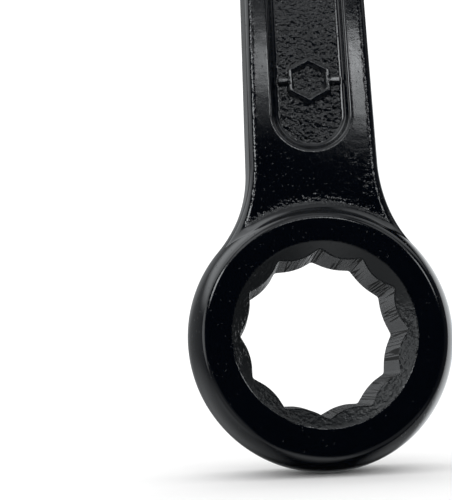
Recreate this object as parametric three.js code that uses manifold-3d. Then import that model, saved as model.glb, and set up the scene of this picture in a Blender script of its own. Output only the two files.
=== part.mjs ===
// A 27 mm ring wrench of the striking kind: one steel forging that is driven with a hammer.
// Millimetres. The origin is the centre of the 12-point bore, halfway through the ring. +Z runs up the
// shank, the bore runs along Y, and the side with the raised mark faces -Y.
//
// The forging is made whole, then sawn at plain planes into its named regions.
import * as THREE from 'three';
import { mergeVertices } from 'three/addons/utils/BufferGeometryUtils.js';
import Module from 'manifold-3d';

const wasm = await Module();
wasm.setup();

// ---- driving dimensions -------------------------------------------------------------------------

const acrossFlats = 27; // the nut that the bore takes
const borePoints = 12;
const boreNotchRounding = 0.9; // how far the rounding of an inward corner reaches along each wall

const ringRadius = 25.5; // at the parting plane
const ringFaceRadius = 21.7; // the flat annulus on each side ends here
const ringHalfThickness = 9;
const leadInRadius = 17; // mouth of the 45 degree lead-in on each side of the bore

const shankHalfThickness = 6.5;
const shankHalfWidthAtNeck = 13.25;
const shankHalfWidthAtEye = 12.7;
const shankEdgeInset = 2.1; // how much narrower the flat face is than the parting plane, each side
const neckFillet = 25; // radius of the flare between the shank's sides and the ring

const overallLength = 180;
const blockHalfWidth = 16.5;
const blockHalfThickness = 9;
const blockEdgeInset = 2.2;
const blockStart = 124.5; // height of the block's lower edge
const blockCorner = 4.5;
const strikingFaceRounding = 0.8; // how far the struck face's long edges are rounded off
const flareStart = 112; // where the shank starts to widen towards the block
const flareEnd = 127;

const panelHalfWidth = 7.7; // at the mouth
const panelBottom = 35.5;
const panelTop = 105.5;
const panelDepth = 1.5;
const panelWallRun = 1.1; // how far the sloping wall reaches in from the mouth

const hangingHoleRadius = 4.25;
const hangingHoleHeight = 118;

const markHeight = 50.3; // centre of the raised mark
const markHexRadius = 4.9; // corner to centre
const markStroke = 1.15;
const markBarReach = 6.3; // from the centre to the outer end of each bar
const markRelief = 0.7;

const flashLand = 0.6; // plain band at the parting plane, between the two drafted halves

// Heights of the planes where one region ends and the next begins.
const ringNeckPlane = 22.5;
const neckShankPlane = 33;
const shankEyePlane = 108;
const eyeBlockPlane = 124;

const farEnd = overallLength - ringRadius;

// ---- from three.js geometry to solids and back --------------------------------------------------

/** A closed geometry as a solid: shared vertices merged, collapsed triangles dropped. */
function toSolid(geometry) {
  const bare = geometry.clone();
  bare.deleteAttribute('normal');
  bare.deleteAttribute('uv');
  const merged = mergeVertices(bare, 1e-4);
  const corners = merged.index.array;
  const kept = [];
  for (let i = 0; i < corners.length; i += 3) {
    const [a, b, c] = [corners[i], corners[i + 1], corners[i + 2]];
    if (a !== b && b !== c && c !== a) kept.push(a, b, c);
  }
  const vertProperties = new Float32Array(merged.attributes.position.array);
  const triVerts = new Uint32Array(kept);
  return new wasm.Manifold(new wasm.Mesh({ numProp: 3, vertProperties, triVerts }));
}

/** A solid as a flat-shaded geometry. */
function toGeometry(solid) {
  const mesh = solid.getMesh();
  const geometry = new THREE.BufferGeometry();
  geometry.setAttribute('position', new THREE.BufferAttribute(mesh.vertProperties, 3));
  geometry.setIndex(new THREE.BufferAttribute(mesh.triVerts, 1));
  const flat = geometry.toNonIndexed();
  flat.computeVertexNormals();
  return flat;
}

/** A profile of [radius, y] points, starting and ending on the axis, turned about the bore axis. */
function turned(profile, segments) {
  const points = profile.map(([radius, y]) => new THREE.Vector2(radius, y));
  return toSolid(new THREE.LatheGeometry(points, segments));
}

/**
 * An outline drawn in X and Z, given thickness along Y about the parting plane. Its flat faces have
 * the outline's size. Towards the parting plane it swells by `swell` in a quarter ellipse.
 */
function forged(outline, halfThickness, swell, steps) {
  const bevelThickness = halfThickness - flashLand / 2;
  const geometry = new THREE.ExtrudeGeometry(outline, {
    depth: flashLand,
    bevelEnabled: true,
    bevelThickness,
    bevelSize: swell,
    bevelSegments: steps,
    curveSegments: 11,
  });
  geometry.translate(0, 0, -flashLand / 2);
  geometry.rotateX(Math.PI / 2);
  return toSolid(geometry);
}

/** A solid between two heights. */
function slab(low, high) {
  const geometry = new THREE.BoxGeometry(4 * ringRadius, 4 * ringRadius, high - low);
  geometry.translate(0, 0, (low + high) / 2);
  return toSolid(geometry);
}

// ---- outlines, drawn in X and Z -----------------------------------------------------------------

/** Twelve walls' corners: outward points where two hexagons cross their own corners, notches between. */
function boreOutline() {
  const pointRadius = acrossFlats / Math.sqrt(3);
  const notchRadius = acrossFlats / 2 / Math.cos(Math.PI / borePoints);
  const step = (2 * Math.PI) / borePoints;
  const at = (radius, angle) => new THREE.Vector2(radius * Math.sin(angle), radius * Math.cos(angle));
  const shape = new THREE.Shape();
  const first = at(pointRadius, 0);
  shape.moveTo(first.x, first.y);
  for (let i = 0; i < borePoints; i += 1) {
    const from = at(pointRadius, i * step);
    const notch = at(notchRadius, (i + 0.5) * step);
    const to = at(pointRadius, (i + 1) * step);
    const reach = boreNotchRounding / from.distanceTo(notch);
    const before = notch.clone().lerp(from, reach);
    const after = notch.clone().lerp(to, reach);
    shape.lineTo(before.x, before.y);
    shape.quadraticCurveTo(notch.x, notch.y, after.x, after.y);
    if (i < borePoints - 1) shape.lineTo(to.x, to.y);
  }
  shape.closePath();
  return shape;
}

/**
 * The handle from inside the ring to its far end, at the size of its flat faces. The neck's flare is
 * an arc that is tangent to the shank's side and to a circle just inside the ring's rim.
 */
function handleOutline() {
  const low = shankHalfWidthAtNeck - shankEdgeInset;
  const high = shankHalfWidthAtEye - shankEdgeInset;
  const block = blockHalfWidth - shankEdgeInset;
  const rim = ringRadius - shankEdgeInset;
  const flareX = low + neckFillet;
  const flareZ = Math.sqrt((rim + neckFillet) ** 2 - flareX ** 2);
  const meetAngle = Math.atan2(flareZ, flareX);
  const shape = new THREE.Shape();
  shape.moveTo(rim * Math.cos(meetAngle), rim * Math.sin(meetAngle));
  shape.absarc(flareX, flareZ, neckFillet, meetAngle + Math.PI, Math.PI, true);
  shape.lineTo(high, flareStart);
  const middle = (flareStart + flareEnd) / 2;
  shape.bezierCurveTo(high, middle, block, middle, block, flareEnd);
  shape.lineTo(block, farEnd - blockHalfWidth / 2);
  shape.lineTo(-block, farEnd - blockHalfWidth / 2);
  shape.lineTo(-block, flareEnd);
  shape.bezierCurveTo(-block, middle, -high, middle, -high, flareStart);
  shape.lineTo(-low, flareZ);
  shape.absarc(-flareX, flareZ, neckFillet, 0, -meetAngle, true);
  shape.closePath();
  return shape;
}

/** The striking block's flat side: a rectangle with rounded corners. */
function blockOutline() {
  const half = blockHalfWidth - blockEdgeInset;
  const low = blockStart + blockEdgeInset;
  const high = farEnd - strikingFaceRounding;
  const r = blockCorner - blockEdgeInset;
  const shape = new THREE.Shape();
  shape.moveTo(half, low + r);
  shape.lineTo(half, high - r);
  shape.absarc(half - r, high - r, r, 0, Math.PI / 2, false);
  shape.lineTo(-half + r, high);
  shape.absarc(-half + r, high - r, r, Math.PI / 2, Math.PI, false);
  shape.lineTo(-half, low + r);
  shape.absarc(-half + r, low + r, r, Math.PI, 1.5 * Math.PI, false);
  shape.lineTo(half - r, low);
  shape.absarc(half - r, low + r, r, 1.5 * Math.PI, 2 * Math.PI, false);
  return shape;
}

/** The floor of the recessed panel: a slot with round ends. */
function panelFloorOutline() {
  const half = panelHalfWidth - panelWallRun;
  const low = panelBottom + panelHalfWidth;
  const high = panelTop - panelHalfWidth;
  const shape = new THREE.Shape();
  shape.moveTo(half, low);
  shape.lineTo(half, high);
  shape.absarc(0, high, half, 0, Math.PI, false);
  shape.lineTo(-half, low);
  shape.absarc(0, low, half, Math.PI, 2 * Math.PI, false);
  return shape;
}

/** The mark: the outline of a hexagon nut, point up, with a short bar out of each side. */
function markOutline() {
  const flat = (markHexRadius * Math.sqrt(3)) / 2;
  const corner = (radius, i) => [radius * Math.sin((i * Math.PI) / 3), radius * Math.cos((i * Math.PI) / 3)];
  const half = markStroke / 2;
  const shape = new THREE.Shape();
  shape.moveTo(...corner(markHexRadius, 0));
  shape.lineTo(...corner(markHexRadius, 1));
  shape.lineTo(flat, half);
  shape.lineTo(markBarReach, half);
  shape.lineTo(markBarReach, -half);
  shape.lineTo(flat, -half);
  shape.lineTo(...corner(markHexRadius, 2));
  shape.lineTo(...corner(markHexRadius, 3));
  shape.lineTo(...corner(markHexRadius, 4));
  shape.lineTo(-flat, -half);
  shape.lineTo(-markBarReach, -half);
  shape.lineTo(-markBarReach, half);
  shape.lineTo(-flat, half);
  shape.lineTo(...corner(markHexRadius, 5));
  const inner = new THREE.Path();
  const innerRadius = markHexRadius - (markStroke * 2) / Math.sqrt(3);
  inner.moveTo(...corner(innerRadius, 0));
  for (let i = 5; i > 0; i -= 1) inner.lineTo(...corner(innerRadius, i));
  shape.holes.push(inner);
  return shape;
}

// ---- the features of the forging ----------------------------------------------------------------

/** The solid disc of the ring, flat on both sides. Its side bulges in one arc from face to face. */
function ringDisc() {
  const steps = 14;
  const run = ringRadius - ringFaceRadius;
  const bulgeRadius = (run ** 2 + ringHalfThickness ** 2) / (2 * run);
  const halfSweep = Math.asin(ringHalfThickness / bulgeRadius);
  const profile = [[0, -ringHalfThickness]];
  for (let i = 0; i <= steps; i += 1) {
    const angle = halfSweep * ((2 * i) / steps - 1);
    profile.push([ringRadius - bulgeRadius + bulgeRadius * Math.cos(angle), bulgeRadius * Math.sin(angle)]);
  }
  profile.push([0, ringHalfThickness]);
  return turned(profile, 96);
}

/** The bore that the nut goes into, longer than the ring is thick. */
function bore() {
  const depth = 2 * ringHalfThickness + 4;
  const geometry = new THREE.ExtrudeGeometry(boreOutline(), { depth, bevelEnabled: false, curveSegments: 4 });
  geometry.translate(0, 0, -depth / 2);
  geometry.rotateX(Math.PI / 2);
  return toSolid(geometry);
}

/** A 45 degree cone that opens the bore's mouth on one side: -1 is the front, +1 the back. */
function leadIn(side) {
  const over = 1;
  const reach = 4;
  const mouth = side * (ringHalfThickness + over);
  const bottom = side * (ringHalfThickness - reach);
  const profile = [
    [0, mouth],
    [leadInRadius + over, mouth],
    [leadInRadius - reach, bottom],
    [0, bottom],
  ];
  return turned(side < 0 ? profile : profile.reverse(), 96);
}

/** What the recessed panel takes out of one side of the shank. */
function panelCut(side) {
  const geometry = new THREE.ExtrudeGeometry(panelFloorOutline(), {
    depth: 2,
    bevelEnabled: true,
    bevelThickness: panelDepth,
    bevelSize: panelWallRun,
    bevelSegments: 3,
    curveSegments: 16,
  });
  // The floor is the local plane z = -panelDepth, and rotateX turns +Z to -Y.
  geometry.rotateX(Math.PI / 2);
  geometry.translate(0, -shankHalfThickness, 0);
  if (side > 0) geometry.rotateZ(Math.PI);
  return toSolid(geometry);
}

/** The hole that the wrench hangs by. */
function hangingHole() {
  const geometry = new THREE.CylinderGeometry(hangingHoleRadius, hangingHoleRadius, 4 * shankHalfThickness, 40);
  geometry.translate(0, 0, hangingHoleHeight);
  return toSolid(geometry);
}

/** The whole forging, still in one piece. */
function forging() {
  const handle = forged(handleOutline(), shankHalfThickness, shankEdgeInset, 5);
  const block = forged(blockOutline(), blockHalfThickness, blockEdgeInset, 5);
  return ringDisc()
    .add(handle)
    .add(block)
    .subtract(bore())
    .subtract(leadIn(-1))
    .subtract(leadIn(1))
    .subtract(panelCut(-1))
    .subtract(panelCut(1))
    .subtract(hangingHole());
}

/** The mark that stands on the floor of the front panel. */
function raisedMark() {
  const geometry = new THREE.ExtrudeGeometry(markOutline(), { depth: markRelief, bevelEnabled: false });
  geometry.rotateX(Math.PI / 2);
  geometry.translate(0, panelDepth - shankHalfThickness, markHeight);
  return toSolid(geometry);
}

// ---- the part -----------------------------------------------------------------------------------

function enamel(color) {
  return new THREE.MeshStandardMaterial({ color, roughness: 0.32, metalness: 0.0 });
}

const whole = forging();
const regions = [
  ['ring_head', -2 * ringRadius, ringNeckPlane, 0x17181b],
  ['neck', ringNeckPlane, neckShankPlane, 0x17181b],
  ['shank', neckShankPlane, shankEyePlane, 0x1b1c20],
  ['hanging_eye', shankEyePlane, eyeBlockPlane, 0x17181b],
  ['striking_block', eyeBlockPlane, farEnd, 0x17181b], // the last cut leaves the struck face flat
];

const wrench = new THREE.Group();
for (const [name, low, high, color] of regions) {
  const mesh = new THREE.Mesh(toGeometry(whole.intersect(slab(low, high))), enamel(color));
  mesh.name = name;
  wrench.add(mesh);
}

const mark = new THREE.Mesh(toGeometry(raisedMark()), enamel(0x1f2024));
mark.name = 'raised_mark';
wrench.add(mark);

export default wrench;
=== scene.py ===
import itertools
import math

import bmesh
import bpy
import numpy as np
from mathutils import Matrix, Vector
from mathutils.geometry import delaunay_2d_cdt


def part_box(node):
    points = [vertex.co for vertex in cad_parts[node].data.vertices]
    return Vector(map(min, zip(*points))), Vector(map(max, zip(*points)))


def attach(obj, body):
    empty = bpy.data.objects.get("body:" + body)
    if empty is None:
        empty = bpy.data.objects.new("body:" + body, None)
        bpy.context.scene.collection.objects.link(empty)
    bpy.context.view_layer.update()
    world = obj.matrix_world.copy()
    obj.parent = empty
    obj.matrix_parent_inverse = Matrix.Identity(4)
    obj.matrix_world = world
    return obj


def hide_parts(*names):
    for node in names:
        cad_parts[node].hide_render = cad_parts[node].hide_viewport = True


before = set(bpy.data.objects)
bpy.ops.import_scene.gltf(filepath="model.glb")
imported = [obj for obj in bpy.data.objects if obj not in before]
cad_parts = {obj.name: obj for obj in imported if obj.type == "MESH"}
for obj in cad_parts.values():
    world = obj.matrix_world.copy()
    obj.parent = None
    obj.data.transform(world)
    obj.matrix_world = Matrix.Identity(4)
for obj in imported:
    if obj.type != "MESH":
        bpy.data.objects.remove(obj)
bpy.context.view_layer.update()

MM = 0.001


def cad_box(node):
    """The lowest and highest corner of a CAD node, in millimetres."""
    low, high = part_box(node)
    return np.array(low) / MM, np.array(high) / MM


# ---- sizes that the CAD frame gives -------------------------------------------------------------

ring_low, ring_high = cad_box("ring_head")
shank_low, shank_high = cad_box("shank")
eye_low, eye_high = cad_box("hanging_eye")
block_low, block_high = cad_box("striking_block")
mark_low, mark_high = cad_box("raised_mark")

RING_RADIUS = -ring_low[2]
RING_HALF = ring_high[1]
SHANK_HALF = shank_high[1]
NECK_HALF_WIDTH = shank_high[0]
BLOCK_HALF_WIDTH = block_high[0]
BLOCK_HALF = block_high[1]
FAR_END = block_high[2]
NECK_PLANE = ring_high[2]
SHANK_PLANE = shank_low[2]
EYE_PLANE = shank_high[2]
BLOCK_PLANE = eye_high[2]
MARK_CENTRE = (mark_low[2] + mark_high[2]) / 2
MARK_BAR_REACH = mark_high[0]
MARK_CORNER = (mark_high[2] - mark_low[2]) / 2
MARK_TOP = -mark_low[1]

# ---- the rest of the forging's sizes ------------------------------------------------------------

ACROSS_FLATS = 27.0
POINT_ROUNDING = 0.35
NOTCH_ROUNDING = 1.1
# A little outside the circle of the bore's points.
BORE_REACH = 16.2
LEAD_IN_RADIUS = 17.0
LEAD_IN_ROUNDING = 0.28
BORE_EDGE_ROUNDING = 0.12
RING_FACE_RADIUS = 21.95
RING_EDGE_ROUNDING = 0.6

DRAFT = math.radians(7)
SHANK_EDGE_ROUNDING = 1.5
EYE_HALF_WIDTH = 12.7
NECK_FILLET = 25.0
COLLAR_FILLET = 1.3
FLARE_START, FLARE_END = 112.0, 127.0
STEP_START, STEP_END = 122.4, 127.5
BLOCK_EDGE_INSET = 2.2
BLOCK_CORNER = 3.5
BLOCK_EDGE_ROUNDING = 1.0

PANEL_HALF_WIDTH = 7.7
PANEL_BOTTOM, PANEL_TOP = 35.5, 105.5
PANEL_DEPTH = 1.5
PANEL_WALL_RUN = 1.1
PANEL_FOOT_FILLET = 0.6
PANEL_MOUTH_ROUNDING = 0.35
PANEL_FLOOR = SHANK_HALF - PANEL_DEPTH
# How far inside the wall's foot the pebbles begin.
FLOOR_MARGIN = 0.3

MARK_STROKE = 1.15
MARK_DRAFT = 0.25
MARK_EDGE_ROUNDING = 0.22
MARK_FOOT_FILLET = 0.3
MARK_PLANE = PANEL_FLOOR + 0.25

HOLE_RADIUS = 4.25
HOLE_HEIGHT = 118.0
HOLE_EDGE_ROUNDING = 0.5

# ---- sizes of the skin's relief -----------------------------------------------------------------

PEBBLE_SIZE, SMALL_PEBBLE_SIZE = 0.7, 0.45
PEBBLE_HEIGHT, SOFT_PEBBLE_HEIGHT = 0.15, 0.08
# The pebbles on the panel's floor grow softer upwards, between these two heights.
SOFTER_FROM, SOFTER_TO = 48, 62
DENT_SIZE, DENT_HEIGHT = 6.0, 0.01
GRAIN_SIZE, GRAIN_HEIGHT = 1.6, 0.0025
WRINKLE_HEIGHT = 0.06
WRINKLE_PATCH_SIZE = 1.8
# How deep the wrinkles are in each place, as a share of WRINKLE_HEIGHT.
NECK_WRINKLES = 0.3
EDGE_WRINKLES = 0.6
LEAD_IN_WRINKLES = 1.5

# ---- meshing ------------------------------------------------------------------------------------

CELL = 0.3
# Where the lattice starts, in cells: no flat face of the forging and no parting plane lies on a vertex.
LATTICE_SHIFT = np.array([0.5, 0.5, 0.25])
# How strongly a vertex is drawn to the middle of its crossings, and how near its cell's walls it may come.
MIDDLE_PULL = 0.03
CELL_MARGIN = 0.02
# Vertices on a cut's border that are nearer than this become one before the cut is closed.
WELD = 0.004
# Faces that meet more sharply than this are shaded with an edge between them.
SHARP_ANGLE = math.radians(38)
# How far outside the mark the plane that takes it off reaches.
MARK_MARGIN = 0.12

# The masks that the material reads. They are kept on the mesh as attributes.
PAINTED = ("pebbled", "crinkled", "broached", "lead_in")


# ---- distances and how they join ----------------------------------------------------------------

def smoothstep(low, high, value):
    """0 below low, 1 above high, and a soft ramp between them."""
    t = np.clip((value - low) / (high - low), 0, 1)
    return t * t * (3 - 2 * t)


def rounded(a, b, radius):
    """What is inside both a and b, with the edge between them rounded."""
    outside = np.hypot(np.maximum(a + radius, 0), np.maximum(b + radius, 0))
    return np.minimum(np.maximum(a, b), -radius) + outside


def filleted(a, b, radius):
    """What is inside a or b, with a fillet in the corner between them."""
    inside = np.hypot(np.maximum(radius - a, 0), np.maximum(radius - b, 0))
    return np.maximum(np.minimum(a, b), radius) - inside


def crowned(outline, y, inset, half):
    """A side that bulges in one arc and stands back by inset where it reaches the thickness half."""
    bulge = (inset ** 2 + half ** 2) / (2 * inset)
    return np.hypot(np.maximum(outline + bulge, 0), y) - bulge


def ring(x, y, z):
    outline = np.hypot(x, z) - RING_RADIUS
    side = crowned(outline, y, RING_RADIUS - RING_FACE_RADIUS, RING_HALF)
    return rounded(side, np.abs(y) - RING_HALF, RING_EDGE_ROUNDING)


def handle_outline(x, z):
    """The handle seen from the front: distance outside it, and how far round the neck's fillet a point is."""
    to_eye = (EYE_HALF_WIDTH - NECK_HALF_WIDTH) / (EYE_PLANE - SHANK_PLANE)
    width = NECK_HALF_WIDTH + to_eye * np.clip(z - SHANK_PLANE, 0, EYE_PLANE - SHANK_PLANE)
    swell = smoothstep(FLARE_START, FLARE_END, z)
    width = width + (BLOCK_HALF_WIDTH - EYE_HALF_WIDTH) * swell
    # The slope is exact at the swell's middle and ends, and close in between. It turns width into distance.
    steepest = 1.5 * (BLOCK_HALF_WIDTH - EYE_HALF_WIDTH) / (FLARE_END - FLARE_START)
    slope = steepest * 2 * np.sqrt(swell * (1 - swell))
    strip = (np.abs(x) - width) / np.hypot(1, slope)
    centre_x = NECK_HALF_WIDTH + NECK_FILLET
    centre_z = math.sqrt((RING_RADIUS + NECK_FILLET) ** 2 - centre_x ** 2)
    flare = NECK_FILLET - np.hypot(centre_x - np.abs(x), centre_z - z)
    turn = np.arctan2(centre_z - z, centre_x - np.abs(x)) / math.atan2(centre_z, centre_x)
    outline = np.where(turn > 1, np.hypot(x, z) - RING_RADIUS, flare)
    return np.where(turn < 0, strip, outline), turn


def handle(x, y, z, outline, turn):
    """The shank, its flare into the ring, and its growth into the block.

    Its sides are drafted from the middle plane. They turn into the ring's crown round the neck's fillet, and
    into the block's crown along the flare.
    """
    drafted = (outline + np.abs(y) * math.tan(DRAFT)) * math.cos(DRAFT)
    like_ring = crowned(outline, y, RING_RADIUS - RING_FACE_RADIUS, RING_HALF)
    like_block = crowned(outline, y, BLOCK_EDGE_INSET, BLOCK_HALF)
    side = drafted + (like_ring - drafted) * smoothstep(0.1, 1, turn)
    side = side + (like_block - side) * smoothstep(FLARE_START, FLARE_END, z)
    side = rounded(side, z - FAR_END, BLOCK_CORNER)
    thicker = smoothstep(STEP_START, STEP_END, z)
    half = SHANK_HALF + (BLOCK_HALF - SHANK_HALF) * thicker
    edge = SHANK_EDGE_ROUNDING + (BLOCK_EDGE_ROUNDING - SHANK_EDGE_ROUNDING) * thicker
    return rounded(side, np.abs(y) - half, edge)


def bore(x, z):
    """Negative inside the 12-point hole: two hexagons, one turned 30 degrees from the other."""
    hexagons = []
    for first in (0, 30):
        walls = []
        for degrees in (first, first + 60, first + 120):
            across = x * math.sin(math.radians(degrees)) + z * math.cos(math.radians(degrees))
            walls.append(np.abs(across) - ACROSS_FLATS / 2)
        pair = rounded(walls[0], walls[1], POINT_ROUNDING)
        hexagons.append(rounded(pair, walls[2], POINT_ROUNDING))
    return filleted(hexagons[0], hexagons[1], NOTCH_ROUNDING)


def lead_in(x, y, z):
    """Negative inside the two 45 degree cones that open the bore."""
    return (np.hypot(x, z) - np.abs(y) - LEAD_IN_RADIUS + RING_HALF) / math.sqrt(2)


def panel_outline(x, z):
    """Distance outside the panel's mouth, a slot with round ends."""
    low, high = PANEL_BOTTOM + PANEL_HALF_WIDTH, PANEL_TOP - PANEL_HALF_WIDTH
    return np.hypot(x, z - np.clip(z, low, high)) - PANEL_HALF_WIDTH


def panel(y, outline):
    """Negative inside the two recessed panels."""
    depth = SHANK_HALF - np.abs(y)
    lean = PANEL_WALL_RUN / PANEL_DEPTH
    wall = (outline + depth * lean) / math.hypot(1, lean)
    return rounded(wall, PANEL_FLOOR - np.abs(y), PANEL_FOOT_FILLET)


def mark(x, y, z):
    """A hexagon nut in outline, point up, with a short bar out of each side."""
    up = z - MARK_CENTRE
    flat = MARK_CORNER * math.sqrt(3) / 2
    sides = [np.abs(x), np.abs(x / 2 + up * math.sqrt(3) / 2), np.abs(x / 2 - up * math.sqrt(3) / 2)]
    hexagon = np.maximum(np.maximum(sides[0], sides[1]), sides[2]) - flat
    band = np.abs(hexagon + MARK_STROKE / 2) - MARK_STROKE / 2
    middle = (MARK_BAR_REACH + flat) / 2 - MARK_STROKE / 4
    bar = np.maximum(np.abs(np.abs(x) - middle) - (MARK_BAR_REACH - middle), np.abs(up) - MARK_STROKE / 2)
    side = np.minimum(band, bar) - (y + PANEL_FLOOR) * MARK_DRAFT
    raised = rounded(side, -y - MARK_TOP, MARK_EDGE_ROUNDING)
    return np.maximum(raised, y + PANEL_FLOOR - PANEL_DEPTH)


def forging(x, y, z):
    """Distance outside the forging's skin, negative in the metal."""
    outline, turn = handle_outline(x, z)
    # The fillet by the ring fades out at the handle's sides, where ring and handle share one outline.
    collar = COLLAR_FILLET * smoothstep(0.5, 3.5, -outline) * smoothstep(1, 0.6, turn)
    body = filleted(ring(x, y, z), handle(x, y, z, outline, turn), collar)
    body = rounded(body, -panel(y, panel_outline(x, z)), PANEL_MOUTH_ROUNDING)
    body = rounded(body, HOLE_RADIUS - np.hypot(x, z - HOLE_HEIGHT), HOLE_EDGE_ROUNDING)
    body = rounded(body, -lead_in(x, y, z), LEAD_IN_ROUNDING)
    body = rounded(body, -bore(x, z), BORE_EDGE_ROUNDING)
    return filleted(body, mark(x, y, z), MARK_FOOT_FILLET)


def slope_of(points):
    """The skin's outward direction at each point."""
    step = 0.01
    sides = []
    for axis in range(3):
        shift = np.zeros(3)
        shift[axis] = step
        sides.append(forging(*(points + shift).T) - forging(*(points - shift).T))
    slope = np.stack(sides, axis=1)
    return slope / np.maximum(np.linalg.norm(slope, axis=1, keepdims=True), 1e-12)


# ---- meshing the formula ------------------------------------------------------------------------

def sample_lattice(low, counts):
    """The formula at every point of the lattice, a slab at a time."""
    x = (low[0] + CELL * np.arange(counts[0]))[:, None, None]
    y = (low[1] + CELL * np.arange(counts[1]))[None, :, None]
    values = np.empty(counts, np.float32)
    slab = 64
    for start in range(0, counts[2], slab):
        z = (low[2] + CELL * np.arange(start, min(start + slab, counts[2])))[None, None, :]
        values[:, :, start:start + slab] = forging(x, y, z)
    return values


def crossing_points(values, low, axis):
    """Where the skin cuts the lattice's edges along one axis: edge, direction out, and point."""
    first = [slice(None)] * 3
    second = [slice(None)] * 3
    first[axis] = slice(0, -1)
    second[axis] = slice(1, None)
    a, b = values[tuple(first)], values[tuple(second)]
    edges = np.argwhere((a < 0) != (b < 0))
    at = tuple(edges.T)
    va, vb = a[at].astype(float), b[at].astype(float)
    lower, upper = np.zeros(len(edges)), np.ones(len(edges))
    start = low + CELL * edges
    refinements = 3
    for _ in range(refinements):
        t = lower + (upper - lower) * va / (va - vb)
        points = start.copy()
        points[:, axis] += CELL * t
        value = forging(*points.T)
        same = (value < 0) == (va < 0)
        lower, va = np.where(same, t, lower), np.where(same, value, va)
        upper, vb = np.where(same, upper, t), np.where(same, vb, value)
    return edges, a[at] < 0, points


def meshed():
    """Dual contouring: one vertex in each cell that the skin crosses, one quad for each edge it cuts."""
    margin = 1.5 * CELL
    low = np.array([-RING_RADIUS, -RING_HALF, -RING_RADIUS]) - margin
    high = np.array([RING_RADIUS, RING_HALF, FAR_END]) + margin
    low = (np.floor(low / CELL) + LATTICE_SHIFT) * CELL
    counts = tuple(np.ceil((high - low) / CELL).astype(int) + 1)
    values = sample_lattice(low, counts)
    corners, points, normals, outward = [], [], [], []
    for axis in range(3):
        edges, leaves, found = crossing_points(values, low, axis)
        across, beyond = np.eye(3, dtype=int)[(axis + 1) % 3], np.eye(3, dtype=int)[(axis + 2) % 3]
        around = [edges - across - beyond, edges - beyond, edges, edges - across]
        corners.append(np.stack([np.ravel_multi_index(tuple(c.T), counts) for c in around], axis=1))
        points.append(found)
        normals.append(slope_of(found))
        outward.append(leaves)
    corners = np.concatenate(corners)
    points = np.concatenate(points)
    normals = np.concatenate(normals)
    outward = np.concatenate(outward)
    cells, quads = np.unique(corners.ravel(), return_inverse=True)
    vertices = cell_vertices(cells, quads, points, normals, low, counts)
    quads = quads.reshape(-1, 4)
    quads = np.where(outward[:, None], quads, quads[:, ::-1])
    return vertices, quads


def cell_vertices(cells, owner, points, normals, low, counts):
    """In each cell, the point that lies best on the tangent planes of the skin's crossings."""
    points, normals = np.repeat(points, 4, axis=0), np.repeat(normals, 4, axis=0)
    total = lambda values: np.bincount(owner, values, len(cells))
    count = total(np.ones(len(owner)))
    middle = np.stack([total(points[:, i]) for i in range(3)], axis=1) / count[:, None]
    offset = np.einsum("ij,ij->i", normals, points - middle[owner])
    right = np.stack([total(normals[:, i] * offset) for i in range(3)], axis=1)
    matrix = np.empty((len(cells), 3, 3))
    for i, j in itertools.product(range(3), repeat=2):
        matrix[:, i, j] = total(normals[:, i] * normals[:, j])
    matrix += MIDDLE_PULL * count[:, None, None] * np.eye(3)
    move = np.linalg.solve(matrix, right[:, :, None])[:, :, 0]
    corner = low + CELL * np.stack(np.unravel_index(cells, counts), axis=1)
    return np.clip(middle + move, corner + CELL_MARGIN * CELL, corner + (1 - CELL_MARGIN) * CELL)


# ---- the skin's texture -------------------------------------------------------------------------

def lattice_noise(points, wavelength, seed):
    """Smooth noise from -1 to 1, from a seeded table that is read off the main axes."""
    size = 64
    table = np.random.default_rng(seed).uniform(-1, 1, (size, size, size))
    turn = np.array(Matrix.Rotation(0.6, 3, Vector((1, 2, 3))))
    scaled = points @ turn / wavelength + 2 * size
    low = np.floor(scaled).astype(int)
    t = scaled - low
    t = t * t * t * (t * (6 * t - 15) + 10)
    result = np.zeros(len(points))
    for corner in itertools.product((0, 1), repeat=3):
        weight = np.prod(np.where(corner, t, 1 - t), axis=1)
        result += weight * table[tuple(((low + corner) % size).T)]
    return result


def skin_masks(points, normals):
    """How much each vertex belongs to each kind of surface.

    facing is 1 on faces that look to the front or back and 0 on walls, and inward is above 0 on surfaces that
    look towards the bore's axis.
    """
    x, y, z = points.T
    radius = np.hypot(x, z)
    in_ring = radius < RING_FACE_RADIUS + 1
    facing = np.abs(normals[:, 1])
    inward = -(normals[:, 0] * x + normals[:, 2] * z) / np.maximum(radius, 1e-6)
    # The panel's floor, from a little inside the wall's foot, and the lower half of what stands on it.
    floor_reach = -(panel_outline(x, z) + PANEL_WALL_RUN + FLOOR_MARGIN)
    on_floor = (np.abs(y) > PANEL_FLOOR - 0.4) & (np.abs(y) < PANEL_FLOOR + 0.35)
    pebbled = smoothstep(0, 0.7, floor_reach) * on_floor * smoothstep(0.75, 0.95, facing)
    # The bore's walls.
    broached = in_ring * (radius < BORE_REACH) * smoothstep(0.35, 0.15, facing) * (inward > 0)
    # The lead-ins. They stand at 45 degrees, where facing is 0.71.
    cone = in_ring * (radius < LEAD_IN_RADIUS + 0.05) * (facing > 0.55) * (facing < 0.9) * (inward > 0)
    # The ring's flat faces.
    ring_face = in_ring * (radius > LEAD_IN_RADIUS) * (facing > 0.97) * (np.abs(y) > RING_HALF - 0.1)
    return {
        "pebbled": pebbled,
        "crinkled": crinkles(points, radius, facing, cone),
        "broached": broached.astype(float),
        "lead_in": cone.astype(float),
        "ring_face": ring_face.astype(float),
    }


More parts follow.
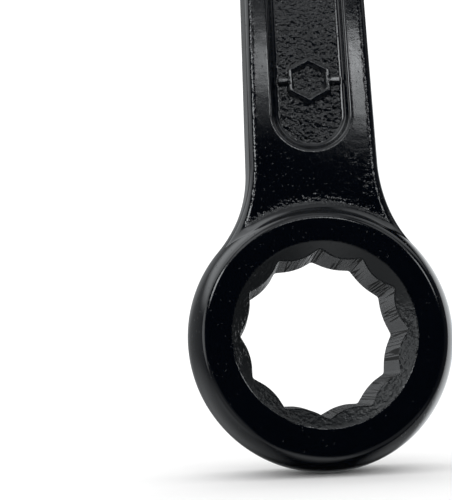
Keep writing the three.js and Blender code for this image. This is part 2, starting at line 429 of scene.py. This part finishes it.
def crinkles(points, radius, facing, cone):
    """Where the enamel has dried wrinkled: by the collar, on the neck's right, on the shank's long edges
    and in the lead-in, except at its top. Each smoothstep says where a region begins and where it is full.
    """
    x, y, z = points.T
    # How far right a point is, for someone who looks at the side of the wrench that it is on.
    rightward = x * np.where(y < 0, 1, -1)
    outline, _ = handle_outline(x, z)
    patchy = smoothstep(-0.3, 0.5, lattice_noise(points, WRINKLE_PATCH_SIZE, 5))

    # The flat face by the ring. The wrinkles are thickest at the collar, and end about 2 mm from it.
    on_neck = smoothstep(0.9, 0.97, facing) * (radius > RING_RADIUS - 1.5) * (z > 15)
    by_collar = on_neck * smoothstep(2.0, 0.2, radius - RING_RADIUS + 0.3)
    right_of_neck = NECK_WRINKLES * on_neck * smoothstep(1, 9, rightward) * smoothstep(38, 28, z)
    wrinkled = np.maximum(by_collar * (0.4 + 0.6 * patchy), right_of_neck * patchy)

    # A line half a millimetre wide, where the flat face turns into the rounded edge.
    edge_inset = SHANK_HALF * math.tan(DRAFT) + SHANK_EDGE_ROUNDING
    on_face = (z > 24) * (np.abs(y) > SHANK_HALF - 0.5) * smoothstep(FLARE_START, FLARE_START - 4, z)
    on_edge = smoothstep(0.32, 0.05, np.abs(outline + edge_inset - 0.3)) * on_face
    wrinkled = np.maximum(wrinkled, EDGE_WRINKLES * on_edge)

    # The top of the lead-in, a little right of the middle, stays smooth.
    below_top = smoothstep(0.8, 0.5, (z + 0.3 * rightward) / np.maximum(radius, 1e-6))
    return np.maximum(wrinkled, LEAD_IN_WRINKLES * cone * below_top * (0.35 + 0.65 * patchy))


def textured(points, normals, masks):
    """The forged skin: pebbles on the panel's floor, wrinkled enamel, faint hammer-scale dents elsewhere."""
    large, small = lattice_noise(points, PEBBLE_SIZE, 1), lattice_noise(points, SMALL_PEBBLE_SIZE, 2)
    pebbles = 0.55 * large + 0.45 * small
    dents = lattice_noise(points, DENT_SIZE, 3)
    grain = lattice_noise(points, GRAIN_SIZE, 4)
    machined = np.maximum(masks["broached"], masks["ring_face"])
    forged = (1 - machined) * (1 - masks["lead_in"])
    softer = smoothstep(SOFTER_FROM, SOFTER_TO, points[:, 2])
    pebble_height = PEBBLE_HEIGHT + (SOFT_PEBBLE_HEIGHT - PEBBLE_HEIGHT) * softer
    height = pebble_height * masks["pebbled"] * pebbles
    height += WRINKLE_HEIGHT * masks["crinkled"] * pebbles
    height += DENT_HEIGHT * forged * dents
    height += GRAIN_HEIGHT * forged * (1 - masks["pebbled"]) * grain
    return points + normals * height[:, None]


# ---- parting the mesh into the CAD's regions ----------------------------------------------------

def whole_mesh():
    """The forging's mesh with its masks, and each corner's own normal kept in an attribute."""
    points, quads = meshed()
    normals = slope_of(points)
    masks = skin_masks(points, normals)
    points = textured(points, normals, masks)
    mesh = bpy.data.meshes.new("forging")
    mesh.from_pydata(points, [], quads)
    mesh.update()
    for name in PAINTED:
        attribute = mesh.attributes.new(name, "FLOAT", "POINT")
        attribute.data.foreach_set("value", masks[name].astype(np.float32))
    mesh.shade_smooth()
    mesh.set_sharp_from_angle(angle=SHARP_ANGLE)
    corner = np.empty(3 * len(mesh.loops), np.float32)
    mesh.corner_normals.foreach_get("vector", corner)
    attribute = mesh.attributes.new("shading", "FLOAT_VECTOR", "CORNER")
    attribute.data.foreach_set("vector", corner)
    return mesh


def cut(bm, plane, outward):
    """Cuts off what lies beyond a plane, and closes the cut with a flat face."""
    geometry = bm.verts[:] + bm.edges[:] + bm.faces[:]
    bmesh.ops.bisect_plane(
        bm, geom=geometry, dist=1e-5, plane_co=Vector(outward) * plane, plane_no=outward, clear_outer=True)
    close(bm, plane, outward)


def close(bm, plane, outward):
    """Fills the open border that lies in a plane with flat triangles that face outward."""
    outward = Vector(outward)
    in_plane = lambda v: abs(v.co.dot(outward) - plane) < 1e-3
    bmesh.ops.remove_doubles(bm, verts=[v for v in bm.verts if v.is_boundary and in_plane(v)], dist=WELD)
    border = [e for e in bm.edges if e.is_boundary and all(in_plane(v) for v in e.verts)]
    corners = list(dict.fromkeys(v for e in border for v in e.verts))
    number = {v: i for i, v in enumerate(corners)}
    u, v = outward.orthogonal(), outward.cross(outward.orthogonal())
    flat = [Vector((c.co.dot(u), c.co.dot(v))) for c in corners]
    edges = [(number[e.verts[0]], number[e.verts[1]]) for e in border]
    spots, _, triangles, sources, _, _ = delaunay_2d_cdt(flat, edges, [], 1, 1e-7)
    loops = np.array([(flat[a], flat[b]) for a, b in edges])
    shading = bm.loops.layers.float_vector["shading"]
    for triangle in triangles:
        if not enclosed(sum((spots[i] for i in triangle), Vector((0, 0))) / 3, loops):
            continue
        face = bm.faces.new([corners[sources[i][0]] for i in triangle])
        face.normal_update()
        if face.normal.dot(outward) < 0:
            face.normal_flip()
        for loop in face.loops:
            loop[shading] = outward


def enclosed(spot, loops):
    """Whether a flat point is inside the loops: a line from it crosses them an odd number of times."""
    first, second = loops[:, 0] - spot, loops[:, 1] - spot
    straddles = (first[:, 1] > 0) != (second[:, 1] > 0)
    a, b = first[straddles], second[straddles]
    crossing = a[:, 0] - a[:, 1] * (b[:, 0] - a[:, 0]) / (b[:, 1] - a[:, 1])
    return np.count_nonzero(crossing > 0) % 2 == 1


def part_of(bm, wanted):
    """A copy of the faces for which wanted(centre) holds."""
    part = bm.copy()
    unwanted = [f for f in part.faces if not wanted(f.calc_center_median())]
    bmesh.ops.delete(part, geom=unwanted, context="FACES")
    return part


def finished(bm, name):
    """A Blender object in metres from a parted mesh in millimetres, shaded by the kept normals."""
    mesh = bpy.data.meshes.new(name)
    bm.to_mesh(mesh)
    bm.free()
    mesh.transform(Matrix.Scale(MM, 4))
    shading = np.empty(3 * len(mesh.loops), np.float32)
    mesh.attributes["shading"].data.foreach_get("vector", shading)
    mesh.attributes.remove(mesh.attributes["shading"])
    mesh.shade_smooth()
    mesh.normals_split_custom_set(shading.reshape(-1, 3))
    piece = bpy.data.objects.new(name, mesh)
    bpy.context.scene.collection.objects.link(piece)
    return piece


def parted(mesh):
    """One closed piece for each CAD node."""
    bm = bmesh.new()
    bm.from_mesh(mesh)
    up, down = (0, 0, 1), (0, 0, -1)
    planes = [NECK_PLANE, SHANK_PLANE, EYE_PLANE, BLOCK_PLANE]
    names = ["ring_head", "neck", "shank", "hanging_eye", "striking_block"]
    lows, highs = [-math.inf] + planes, planes + [math.inf]
    pieces = {}
    for name, low, high in zip(names, lows, highs):
        part = part_of(bm, lambda c: low - CELL < c.z < high + CELL)
        if low > -math.inf:
            cut(part, -low, down)
        if high < math.inf:
            cut(part, high, up)
        pieces[name] = part
    bm.free()
    split_mark(pieces)
    return {name: finished(part, name) for name, part in pieces.items()}


def split_mark(pieces):
    """Takes the raised mark off the shank, at a plane just above the panel's floor."""
    front, back = (0, -1, 0), (0, 1, 0)
    shank = pieces["shank"]
    reach = MARK_BAR_REACH + MARK_MARGIN
    near = lambda c: abs(c.x) < reach and abs(c.z - MARK_CENTRE) < reach and c.y < 0
    faces = [f for f in shank.faces if near(f.calc_center_median())]
    edges = dict.fromkeys(e for f in faces for e in f.edges)
    corners = dict.fromkeys(v for f in faces for v in f.verts)
    geometry = faces + list(edges) + list(corners)
    bmesh.ops.bisect_plane(
        shank, geom=geometry, dist=1e-5, plane_co=Vector(front) * MARK_PLANE, plane_no=front)
    raised = lambda c: near(c) and -c.y > MARK_PLANE
    pieces["raised_mark"] = part_of(shank, raised)
    pieces["shank"] = part_of(shank, lambda c: not raised(c))
    shank.free()
    close(pieces["raised_mark"], -MARK_PLANE, back)
    close(pieces["shank"], MARK_PLANE, front)


# ---- materials ----------------------------------------------------------------------------------

class Nodes:
    """A small helper for writing node trees. Wherever it takes a number or colour, it takes a socket too."""

    def __init__(self, tree):
        self.tree = tree
        tree.nodes.clear()

    def put(self, socket, value):
        """Links a socket's output to another socket, or sets a plain value on it."""
        if isinstance(value, bpy.types.NodeSocket):
            self.tree.links.new(value, socket)
        else:
            socket.default_value = value

    def add(self, kind, settings=None, **inputs):
        """A new node, with its settings and its inputs by name: an underscore stands for a space."""
        node = self.tree.nodes.new(kind)
        for key, value in (settings or {}).items():
            setattr(node, key, value)
        for key, value in inputs.items():
            self.put(node.inputs[key.replace("_", " ")], value)
        return node

    def math(self, operation, a, b):
        node = self.add("ShaderNodeMath", {"operation": operation})
        self.put(node.inputs[0], a)
        self.put(node.inputs[1], b)
        return node.outputs[0]

    def noise(self, place, size, detail):
        """Noise with features of about size millimetres."""
        node = self.add("ShaderNodeTexNoise", Vector=place, Scale=1 / (size * MM), Detail=float(detail))
        return node.outputs["Fac"]

    def ramp(self, value, low, high, top=1.0):
        """0 below low, top above high, soft between them."""
        settings = {"interpolation_type": "SMOOTHSTEP"}
        node = self.add("ShaderNodeMapRange", settings, Value=value, From_Min=low, From_Max=high, To_Max=top)
        return node.outputs["Result"]

    def bump(self, height, depth, under=None, invert=False):
        """A bump of depth millimetres, laid over the bump under it."""
        node = self.add("ShaderNodeBump", {"invert": invert}, Distance=depth * MM, Height=height)
        if under is not None:
            self.put(node.inputs["Normal"], under)
        return node.outputs["Normal"]

    def blend_colour(self, share, a, b):
        """Colour a where share is 0 and colour b where it is 1."""
        node = self.add("ShaderNodeMix", {"data_type": "RGBA"})
        for socket, value in ((node.inputs[0], share), (node.inputs[6], a), (node.inputs[7], b)):
            self.put(socket, value)
        return node.outputs[2]

    def blend(self, share, a, b):
        """a where share is 0 and b where it is 1."""
        node = self.add("ShaderNodeMix")
        for socket, value in ((node.inputs[0], share), (node.inputs[2], a), (node.inputs[3], b)):
            self.put(socket, value)
        return node.outputs[0]


# The enamel's two blacks, which clouds blend, the colours of the lead-ins and the broached walls, and the
# near-black painted shade in the grooves of the strokes that are torn in the walls.
ENAMEL_DARKER = (0.0003, 0.0007, 0.0018, 1)
ENAMEL_LIGHTER = (0.0007, 0.0013, 0.0026, 1)
LEAD_IN_COLOUR = (0.004, 0.005, 0.006, 1)
BROACHED_COLOUR = (0.052, 0.054, 0.057, 1)
# Painted shade: the torn strokes' grooves are coloured near-black.
TORN_GROOVE_SHADE_COLOUR = (0.0004, 0.0004, 0.0005, 1)

# Roughness: the least there is, how much clouds add at most, and what each kind of surface adds.
GLOSS, GLOSS_VARIES = 0.03, 0.08
BROACHED_ADDS, LEAD_IN_ADDS, PEBBLED_ADDS, TORN_ADDS = 0.18, 0.22, 0.08, 0.4

# How much longer a broach stroke is than it is wide.
STROKE_LENGTH = 40


def enamel_material():
    """Black stoved enamel: thin over the machined bore, thick and glossy over the forged skin."""
    material = bpy.data.materials.new("black_enamel")
    material.use_nodes = True
    n = Nodes(material.node_tree)
    place = n.add("ShaderNodeTexCoord").outputs["Object"]
    pebbled, crinkled, broached, lead_in = (
        n.add("ShaderNodeAttribute", {"attribute_name": name}).outputs["Fac"] for name in PAINTED)

    peel = n.noise(place, 1.3, detail=2)
    grit = n.noise(place, 0.62, detail=1)
    fine = n.noise(place, 0.16, detail=2)
    clouds = n.noise(place, 7.0, detail=3)
    specks = n.ramp(n.noise(place, 0.6, detail=1), 0.70, 0.76)

    # The strokes that the broach has torn along the bore: thin lines where a long noise passes its middle.
    # They are bumped in as grooves, and their near-black colour further down is painted shade in those
    # grooves.
    stretch = (1, STROKE_LENGTH, 1)
    mapping = n.add("ShaderNodeMapping", {"vector_type": "TEXTURE"}, Vector=place, Scale=stretch)
    along_bore = mapping.outputs["Vector"]
    from_middle = n.math("SUBTRACT", n.noise(along_bore, 0.6, detail=0), 0.5)
    strokes = n.ramp(n.math("ABSOLUTE", from_middle, 0), 0.08, 0.04)
    where_torn = n.ramp(n.noise(along_bore, 3.2, detail=1), 0.47, 0.53)
    torn_and_shaded = n.math("MULTIPLY", n.math("MULTIPLY", strokes, where_torn), broached)

    rough_skin = n.math("MAXIMUM", pebbled, crinkled)
    level_grit = n.math("MULTIPLY", n.math("SUBTRACT", grit, 0.5), rough_skin)
    pits = n.math("ADD", specks, n.math("MULTIPLY", torn_and_shaded, 3))
    relief = n.bump(peel, depth=0.008)
    relief = n.bump(level_grit, depth=0.2, under=relief)
    relief = n.bump(fine, depth=0.005, under=relief)
    relief = n.bump(pits, depth=0.03, under=relief, invert=True)

    roughness = n.math("ADD", n.math("MULTIPLY", clouds, GLOSS_VARIES), GLOSS)
    machined = n.math("MULTIPLY", broached, BROACHED_ADDS)
    machined = n.math("MAXIMUM", machined, n.math("MULTIPLY", lead_in, LEAD_IN_ADDS))
    for more in (machined, n.math("MULTIPLY", pebbled, PEBBLED_ADDS), n.math("MULTIPLY", torn_and_shaded, TORN_ADDS)):
        roughness = n.math("ADD", roughness, more)

    shade = n.blend_colour(clouds, ENAMEL_DARKER, ENAMEL_LIGHTER)
    shade = n.blend_colour(lead_in, shade, LEAD_IN_COLOUR)
    shade = n.blend_colour(broached, shade, BROACHED_COLOUR)
    # Painted shade: the torn strokes' grooves are coloured near-black over the grey wall.
    shade = n.blend_colour(torn_and_shaded, shade, TORN_GROOVE_SHADE_COLOUR)

    shader = n.add("ShaderNodeBsdfPrincipled", Base_Color=shade, Roughness=roughness, Normal=relief)
    n.add("ShaderNodeOutputMaterial", Surface=shader.outputs[0])
    return material


# ---- floor, light and camera --------------------------------------------------------------------

# Metres from the middle to each side.
FLOOR_REACH = 6.0
FLOOR_COLOUR = (0.9, 0.9, 0.9, 1)


def add_floor():
    """A large pale floor that the ring stands on. Gloss doesn't mirror it, but the studio's patches below."""
    bm = bmesh.new()
    bmesh.ops.create_grid(bm, x_segments=4, y_segments=4, size=FLOOR_REACH)
    mesh = bpy.data.meshes.new("floor")
    bm.to_mesh(mesh)
    bm.free()
    floor = bpy.data.objects.new("floor", mesh)
    floor.location.z = -RING_RADIUS * MM
    floor.visible_glossy = False
    bpy.context.scene.collection.objects.link(floor)
    material = bpy.data.materials.new("pale_floor")
    material.use_nodes = True
    n = Nodes(material.node_tree)
    shader = n.add("ShaderNodeBsdfDiffuse", Color=FLOOR_COLOUR)
    n.add("ShaderNodeOutputMaterial", Surface=shader.outputs[0])
    mesh.materials.append(material)


# The studio as the enamel mirrors it: soft round patches of light. Each row is where the patch is, as
# degrees round from straight in front, towards the picture's right, and degrees up, then its radius where
# it is full and its radius where it has faded out, in degrees, and its brightness.
STUDIO = [
    # overhead and high at the sides
    ((-95, 50), 22, 38, 1.9),
    ((-20, 58), 24, 35, 0.65),
    ((85, 52), 12, 28, 1.0),
    # a row of small ones in front, which the shank's rims and the panel's floor mirror as a strip
    ((0, 26.1), 0.5, 2.3, 5.2),
    ((4, 26.1), 0.5, 2.3, 5.2),
    ((8, 25.9), 0.5, 2.5, 6.0),
    ((11, 25.6), 0.5, 2.6, 8.5),
    ((0, 25.3), 2, 5, 0.4),
    ((5, 25.3), 2, 5, 0.4),
    ((13.5, 23.5), 1, 3.5, 2.6),
    ((12.5, 21.9), 1, 2.8, 2.8),
    # in front, above the row and on either side of it
    ((-22, 38), 6, 12, 1.1),
    ((6, 42), 7, 14, 0.6),
    ((36, 36), 6, 13, 1.1),
    ((-36, 23), 4, 9, 8.0),
    ((36, 17.5), 3.5, 8, 5.0),
    # on the left
    ((-42, -24), 7, 20, 0.18),
    ((-72, 5), 8, 22, 1.9),
    ((-75, -40), 15, 35, 0.4),
    ((-130, 0), 15, 50, 0.25),
    ((-130, -35), 12, 34, 0.28),
    # on the right
    ((55, -45), 10, 25, 0.25),
    ((90, 0), 20, 50, 0.08),
    ((130, -32), 10, 26, 0.3),
    ((140, 2), 15, 32, 1.4),
    # from below, in place of the floor
    ((0, -68), 10, 24, 0.14),
    ((0, -85), 8, 32, 0.6),
    # behind
    ((180, -5), 10, 35, 0.12),
    ((-160, 25), 10, 25, 0.2),
]
STUDIO_TINT = (0.95, 0.98, 1.0, 1)
STUDIO_DARK = 0.006
FLOOR_LIGHT = 1.3
BACKDROP = 1.2
WHITE = (1, 1, 1, 1)


def add_lights():
    """The world: an even light on the floor, a white backdrop, and the studio's soft patches in gloss."""
    world = bpy.data.worlds.new("studio")
    world.use_nodes = True
    world.cycles.sampling_method = "NONE"
    bpy.context.scene.world = world
    n = Nodes(world.node_tree)
    direction = n.add("ShaderNodeTexCoord").outputs["Generated"]
    glow = STUDIO_DARK
    for (right, up), full, faded, brightness in STUDIO:
        right, up = math.radians(right), math.radians(up)
        towards = (math.sin(right) * math.cos(up), -math.cos(right) * math.cos(up), math.sin(up))
        near = n.add("ShaderNodeVectorMath", {"operation": "DOT_PRODUCT"})
        n.put(near.inputs[0], direction)
        n.put(near.inputs[1], towards)
        low, high = math.cos(math.radians(faded)), math.cos(math.radians(full))
        glow = n.math("ADD", n.ramp(near.outputs["Value"], low, high, top=brightness), glow)
    ray = n.add("ShaderNodeLightPath")
    diffuse, seen = ray.outputs["Is Diffuse Ray"], ray.outputs["Is Camera Ray"]
    strength = n.blend(seen, n.blend(diffuse, glow, FLOOR_LIGHT), BACKDROP)
    colour = n.blend_colour(n.math("MAXIMUM", diffuse, seen), STUDIO_TINT, WHITE)
    background = n.add("ShaderNodeBackground", Color=colour, Strength=strength)
    n.add("ShaderNodeOutputWorld", Surface=background.outputs[0])


# The camera, found from the corners of the bore: millimetres, degrees, and the shift as a share of the frame.
CAMERA_PLACE = (-17.23, -134.86, -8.63)
CAMERA_PITCH, CAMERA_YAW, CAMERA_ROLL = 10.82, -2.35, -2.29
CAMERA_SHIFT = -0.06
LENS, SENSOR = 50, 36


def add_camera():
    """The photograph's view: close in front of the ring, a little below its centre, looking up."""
    data = bpy.data.cameras.new("camera")
    data.lens = LENS
    data.sensor_width = SENSOR
    data.sensor_fit = "AUTO"
    data.shift_x = CAMERA_SHIFT
    data.clip_start = 0.01
    camera = bpy.data.objects.new("camera", data)
    yaw = Matrix.Rotation(math.radians(CAMERA_YAW), 4, "Z")
    pitch = Matrix.Rotation(math.radians(90 + CAMERA_PITCH), 4, "X")
    roll = Matrix.Rotation(math.radians(CAMERA_ROLL), 4, "Z")
    camera.matrix_world = Matrix.Translation(Vector(CAMERA_PLACE) * MM) @ yaw @ pitch @ roll
    bpy.context.scene.collection.objects.link(camera)
    bpy.context.scene.camera = camera


# ---- the scene ----------------------------------------------------------------------------------

add_camera()
add_floor()
add_lights()
enamel = enamel_material()
skin = whole_mesh()
for name, piece in parted(skin).items():
    piece.data.materials.append(enamel)
    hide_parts(name)
    piece.name = name + "_skin"
    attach(piece, "root")
bpy.data.meshes.remove(skin)
bpy.context.scene.view_settings.view_transform = "Standard"
